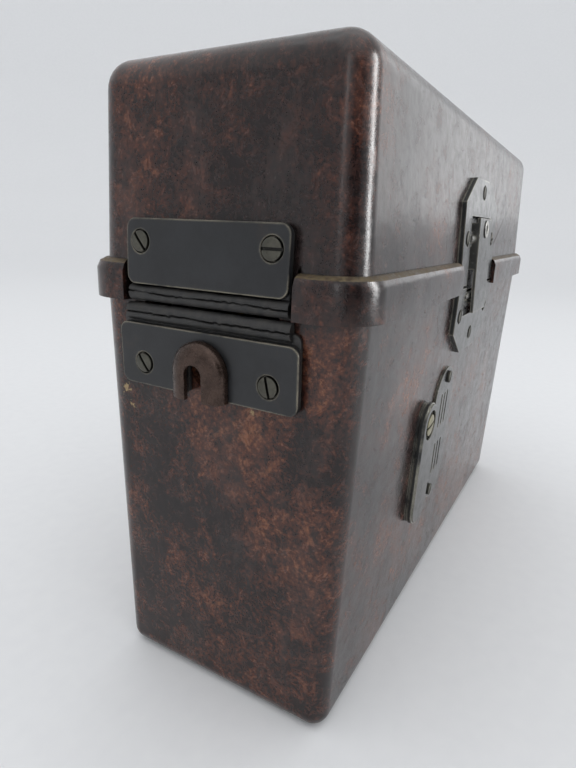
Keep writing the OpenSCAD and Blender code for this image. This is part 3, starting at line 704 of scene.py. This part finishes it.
# %% Model a cracked bead
def cracked_bead(radius, tall, half, wander_seed):
    """A bead along X with a ragged split down its face, drawn round its own centre line."""
    bead = turned_disc(radius, -half, half, 96)
    bead.data.transform(Matrix.Rotation(math.pi / 2, 4, "Y"))
    mesh = edit(bead)
    for side in mesh.edges:
        side.select = abs(side.verts[0].co.x - side.verts[1].co.x) > half
    bmesh.update_edit_mesh(bead.data)
    bpy.ops.mesh.subdivide(number_cuts=100)
    done()
    # The split attribute marks the inside of the split, where the rubber's finish paints shade.
    split = bead.data.attributes.new("split", "FLOAT", "POINT")
    for point in bead.data.vertices:
        x, y, z = point.co
        if z < 0:
            point.co.y, point.co.z = y * tall, 0.12 * z
            continue
        angle = math.atan2(y, z)
        drift = 0.35 * noise.noise(Vector((x * 60, wander_seed, 0)))
        jag = 0.2 * noise.noise(Vector((x * 700, wander_seed, 4)))
        near_line = math.exp(-(((angle - drift - jag) / 0.085) ** 2))
        open_here = min(1, max(0.2, 0.95 + 0.9 * noise.noise(Vector((x * 110, wander_seed, 9)))))
        sink = 0.4 * near_line * open_here
        split.data[point.index].value = min(1, 1.3 * near_line * open_here)
        keep = 1 - sink + 0.02 * noise.noise(point.co * 500)
        point.co.y, point.co.z = y * tall * keep, z * keep
    return bead


def rubber_lip(node, name, wall, sheet_low, sheet_high, half_sheet, bead):
    """A thin sheet with rounded corners and, standing on it, its cracked bead."""
    v, radius, tall, half, seed = bead
    sheet = block((-half_sheet, sheet_low, 0), (half_sheet, sheet_high, 1.2 * MM))
    mesh = edit(sheet)
    for side in mesh.edges:
        side.select = abs(side.verts[0].co.z - side.verts[1].co.z) > MM
    bmesh.update_edit_mesh(sheet.data)
    bpy.ops.mesh.bevel(offset=2.4 * MM, segments=6, affect="EDGES")
    done()
    if sheet_low < -18.3 * MM:
        socket = block((-6.4 * MM, -30 * MM, -MM), (6.4 * MM, -12.5 * MM, 3 * MM))
        cut_away(sheet, socket)
    apply_modifier(
        sheet, "BEVEL", width=0.25 * MM, segments=2, limit_method="ANGLE", angle_limit=0.9
    )
    sheet.data.transform(wall)
    round_part = cracked_bead(radius, tall, half, seed)
    round_part.data.transform(wall @ Matrix.Translation((0, v, 0.82 * MM)))
    lip = join([round_part, sheet], name)
    pick(lip)
    bpy.ops.object.shade_smooth_by_angle(angle=math.radians(40))
    settle(lip, node, old_rubber)
    print(name, len(lip.data.polygons), "faces")


rubber_lip(
    "upper_rubber_lip", "lip_above", lid_left,
    1.7 * MM, 23.5 * MM, 27.5 * MM, (2.6 * MM, 2.04 * MM, 1.2, 28 * MM, 3.0),
)
rubber_lip(
    "lower_rubber_lip", "lip_below", case_left,
    -25.7 * MM, -3.5 * MM, 31.5 * MM, (-3.2 * MM, 2.39 * MM, 1.14, 29 * MM, 11.0),
)

# %% [markdown]
# ## Strap lugs
# Each lug is a domed horseshoe casting, rubbed smooth. A disc is drawn out downwards into a
# horseshoe, its top is inset and raised in steps along an arc for the dome, and the two slots,
# the wide one for the stud's head and the narrow one for its neck, are cut through it.


# %% Model a strap lug
def horseshoe(radius, low, high, foot):
    """A disc whose lower half is drawn down to foot."""
    made = turned_disc(radius, low, high, 64)
    for point in made.data.vertices:
        if point.co.y < -1e-6:
            point.co.y += foot
    return made


def strap_lug(node, name, wall):
    lug = horseshoe(9.5 * MM, 0, 1.2 * MM, -7.1 * MM)
    mesh = edit(lug, "FACE")
    for side in mesh.faces:
        side.select = side.normal.z > 0.9
    bmesh.update_edit_mesh(lug.data)
    rise, run, steps = 3.3 * MM, 5.6 * MM, 9
    for k in range(steps):
        a, b = (math.pi / 2 * t / steps for t in (k, k + 1))
        bpy.ops.mesh.inset(thickness=run * (math.cos(a) - math.cos(b)))
        bpy.ops.transform.translate(value=(0, 0, rise * (math.sin(b) - math.sin(a))))
    done()
    cut_away(lug, horseshoe(6.2 * MM, -MM, 3 * MM, -25 * MM))
    cut_away(lug, horseshoe(3.1 * MM, -2 * MM, 8 * MM, -25 * MM))
    cut_away(lug, block((-0.015, -0.03, -0.002), (0.015, -0.0078, 0.01)))
    apply_modifier(lug, "BEVEL", width=0.45 * MM, segments=3, limit_method="ANGLE", angle_limit=0.7)
    lug.data.transform(wall @ Matrix.Translation((0, -18.3 * MM, 3.2 * MM)))
    lug.name = lug.data.name = name
    smooth(lug, 40)
    settle(lug, node, worn_bronze)


strap_lug("strap_lug_left", "lug_near", case_left)
strap_lug("strap_lug_right", "lug_far", case_right)
print("strap lugs ready")

# %% [markdown]
# ## Inside the lid
# With the lid up, the enamelled panel shows with the handset on its felt seats, the terminals,
# the test key and the stowed crank. These get softened copies and finishes of their own.

# %% Panel, handset and crank
for node, name, finish, width in (
    ("inner_panel", "enamelled_panel", panel_enamel, 0.4),
    ("battery_cover", "cell_cover", panel_enamel, 0.4),
    ("handset_seats", "felt_seats", felt, 0.8),
    ("handset_body", "handset_moulding", black_plastic, 1.6),
    ("receiver_cap", "ear_cap", black_plastic, 0.6),
    ("transmitter_cap", "mouth_cap", black_plastic, 0.6),
    ("handset_key", "talk_bar", black_plastic, 1.2),
    ("panel_screws", "cheese_heads", bright_steel, 0.25),
    ("terminal_posts", "posts", brass, 0.25),
    ("terminal_nut_a", "knurled_nut_a", brass, 0.25),
    ("terminal_nut_b", "knurled_nut_b", brass, 0.25),
    ("test_key_bush", "key_bush", bright_steel, 0.4),
    ("test_key", "key_button", red_key, 0.8),
    ("crank_clips", "spring_clips", spring_steel, 0.2),
    ("crank_arm", "crank_forging", latch_steel, 0.9),
    ("crank_grip", "crank_handle", black_plastic, 0.6),
):
    soften(node, name, finish, width * MM, 3)
print("inside of the lid ready")

# %% [markdown]
# ## Works in the case
# The works are hidden until the case is opened further, so their CAD shapes stay and only take
# a finish each: iron frames, red magnets, varnished coils, brass gongs.

# %% Finishes on the frame's own nodes
for finish, names in (
    (iron, ("generator_frame", "bell_frame")),
    (magnet_red, ("generator_magnets",)),
    (varnished, ("induction_coil", "bell_coils")),
    (laminated, ("armature",)),
    (can_metal, ("capacitor", "receiver_capsule", "transmitter_capsule")),
    (cell_wrap, ("dry_cell",)),
    (box_paint, ("battery_box",)),
    (brass, ("left_gong", "right_gong", "gong_screws")),
    (spring_steel, ("latch_spring",)),
    (bright_steel, ("keeper_bar", "latch_pin", "hinge_pin")),
    (bright_steel, ("handset_key_pin", "crank_shaft", "clapper")),
):
    for name in names:
        held = nodes[name].data.materials
        held.clear()
        held.append(finish)
shown = [name for name, obj in nodes.items() if not obj.hide_render]
print(len(shown), "nodes carried over:", ", ".join(sorted(shown)))

# %% [markdown]
# ## Floor, world and light
# The set is a plain pale dish: a floor that sweeps up all round, so no horizon shows from any
# side. Soft light comes from above and from the sky. Two tall panels only show in reflections:
# one draws the bright line down the near corner, the other the sheen on the long side. A dark
# card, also seen only in reflections, keeps the narrow end deep in tone.


# %% The set
SKY = (0.875, 0.885, 0.9, 1)
SKY_STRENGTH = 1.03
DISH_STEPS = ((0.25, 0.03), (0.22, 0.09), (0.18, 0.15), (0.12, 0.2), (0.06, 0.24), (0.02, 0.5))


def area_light(name, place, target, width, height, power, shine_only=False):
    data = bpy.data.lights.new(name, "AREA")
    data.shape = "RECTANGLE"
    data.size, data.size_y, data.energy = width, height, power
    lamp = bpy.data.objects.new(name, data)
    lamp.location = place
    lamp.rotation_euler = (Vector(target) - Vector(place)).to_track_quat("-Z", "Y").to_euler()
    bpy.context.scene.collection.objects.link(lamp)
    lamp.visible_camera = False
    lamp.visible_diffuse = not shine_only
    return lamp


world = bpy.data.worlds.new("studio")
bpy.context.scene.world = world
world.use_nodes = True
world.node_tree.nodes["Background"].inputs["Color"].default_value = SKY
world.node_tree.nodes["Background"].inputs["Strength"].default_value = SKY_STRENGTH

bpy.ops.object.select_all(action="DESELECT")
bpy.ops.mesh.primitive_circle_add(vertices=96, radius=1.6, fill_type="NGON", location=(0, 0, 0))
floor = bpy.context.object
floor.name = "floor"
edit(floor, "FACE")
for step_out, step_up in DISH_STEPS:
    bpy.ops.mesh.select_all(action="DESELECT")
    bpy.ops.mesh.select_mode(type="EDGE")
    bpy.ops.mesh.select_non_manifold()
    bpy.ops.mesh.extrude_edges_move(TRANSFORM_OT_translate={"value": (0, 0, step_up)})
    reach = max(v.co.xy.length for v in bmesh.from_edit_mesh(floor.data).verts)
    grow = (reach + step_out) / reach
    bpy.ops.transform.resize(value=(grow, grow, 1), center_override=(0, 0, 0))
done()
pick(floor)
bpy.ops.object.shade_smooth()
paper = Finish("paper", roughness=0.7)
weave = paper.noise(140, 3, 0.5)
white = paper.mix(weave, srgb(226, 227, 229), srgb(232, 233, 234))
paper.use(white, normal=paper.bump(weave, 0.0001, 0.2))
floor.data.materials.append(paper.material)
area_light("overhead", (-0.3, -0.2, 1.5), (0, 0, 0), 1.6, 1.6, 5)
area_light("latch_side", (0.4, -1.1, 0.5), (0, 0, 0.14), 0.3, 0.8, 15, True)
area_light("far_panel", (1.25, -0.55, 0.6), (0, 0, 0.15), 0.7, 0.8, 2.0, True)
area_light("narrow_end", (-1.1, -0.5, 0.5), (-0.1, 0, 0.1), 0.06, 0.6, 0.6)
bpy.ops.object.select_all(action="DESELECT")
bpy.ops.mesh.primitive_plane_add(size=1, location=(-0.62, -0.98, 0.32))
card = bpy.context.object
card.name = "dark_card"
card.scale = (0.72, 0.9, 1)
card.rotation_euler = Vector((0.5, 0.9, 0)).to_track_quat("Z", "Y").to_euler()
soot_card = Finish("soot_card", roughness=0.9)
soot_card.use(soot_card.mix(soot_card.noise(20), srgb(20, 20, 20), srgb(30, 30, 30)))
card.data.materials.append(soot_card.material)
card.visible_camera = card.visible_diffuse = card.visible_shadow = False
print("set and lights ready")
